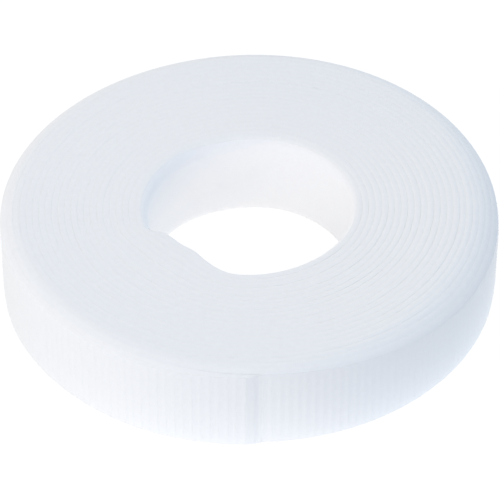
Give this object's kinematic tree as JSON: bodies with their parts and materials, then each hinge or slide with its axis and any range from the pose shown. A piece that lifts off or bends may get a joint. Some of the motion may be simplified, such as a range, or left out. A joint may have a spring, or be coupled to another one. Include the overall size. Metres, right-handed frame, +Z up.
{
  "type": "hook and loop tape roll",
  "caption": "Coreless roll of two-ply hook and loop tape lying on its side, hooks outside, loop pile in the bore, with an outer end that peels away and a springy inner end.",
  "frame": {"origin": "on the roll's winding axis, on the surface that the roll lies on", "axes": "+Z up along the winding axis, across the tape's width; -Y towards the side where the outer end is cut"},
  "size_m": [0.1055, 0.1046, 0.02],
  "materials": {
    "hook_ply": "woven nylon, matte white",
    "loop_ply": "knitted nylon, matte white",
    "hooks": "nylon monofilament, satin white",
    "loop_pile": "brushed nylon loops, soft white"
  },
  "bodies": {
    "winding": {"hook_ply_winding": "hook_ply", "loop_ply_winding": "loop_ply", "hook_rows_winding": "hooks", "loop_pile_bore": "loop_pile"},
    "outer_end_1": {"hook_ply_outer_end_1": "hook_ply", "loop_ply_outer_end_1": "loop_ply", "hook_rows_outer_end_1": "hooks"},
    "outer_end_2": {"hook_ply_outer_end_2": "hook_ply", "loop_ply_outer_end_2": "loop_ply", "hook_rows_outer_end_2": "hooks"},
    "outer_end_3": {"hook_ply_outer_end_3": "hook_ply", "loop_ply_outer_end_3": "loop_ply", "hook_rows_outer_end_3": "hooks"},
    "outer_end_4": {"hook_ply_outer_end_4": "hook_ply", "loop_ply_outer_end_4": "loop_ply", "hook_rows_outer_end_4": "hooks"},
    "inner_end": {"hook_ply_inner_end": "hook_ply", "loop_ply_inner_end": "loop_ply", "loop_pile_inner_end": "loop_pile"}
  },
  "joints": [
    {"name": "outer_peel_1", "type": "hinge", "parent": "winding", "child": "outer_end_1", "pos_m": [-0.05202, -0.00949, 0.01], "axis": [0, 0, -1], "range_deg": [0, 45]},
    {"name": "outer_peel_2", "type": "hinge", "parent": "outer_end_1", "child": "outer_end_2", "pos_m": [-0.04539, -0.02657, 0.01], "axis": [0, 0, -1], "range_deg": [0, 45]},
    {"name": "outer_peel_3", "type": "hinge", "parent": "outer_end_2", "child": "outer_end_3", "pos_m": [-0.03335, -0.04023, 0.01], "axis": [0, 0, -1], "range_deg": [0, 45]},
    {"name": "outer_peel_4", "type": "hinge", "parent": "outer_end_3", "child": "outer_end_4", "pos_m": [-0.01755, -0.04913, 0.01], "axis": [0, 0, -1], "range_deg": [0, 45]},
    {"name": "inner_end_swing", "type": "hinge", "parent": "winding", "child": "inner_end", "pos_m": [-0.00398, -0.02093, 0.01], "axis": [0, 0, -1], "range_deg": [0, 60], "stiffness_Nm_per_rad": 0.002}
  ],
  "couplings": [
    {"joint": "outer_peel_2", "follows": "outer_peel_1", "ratio": 1},
    {"joint": "outer_peel_3", "follows": "outer_peel_1", "ratio": 1},
    {"joint": "outer_peel_4", "follows": "outer_peel_1", "ratio": 1}
  ]
}
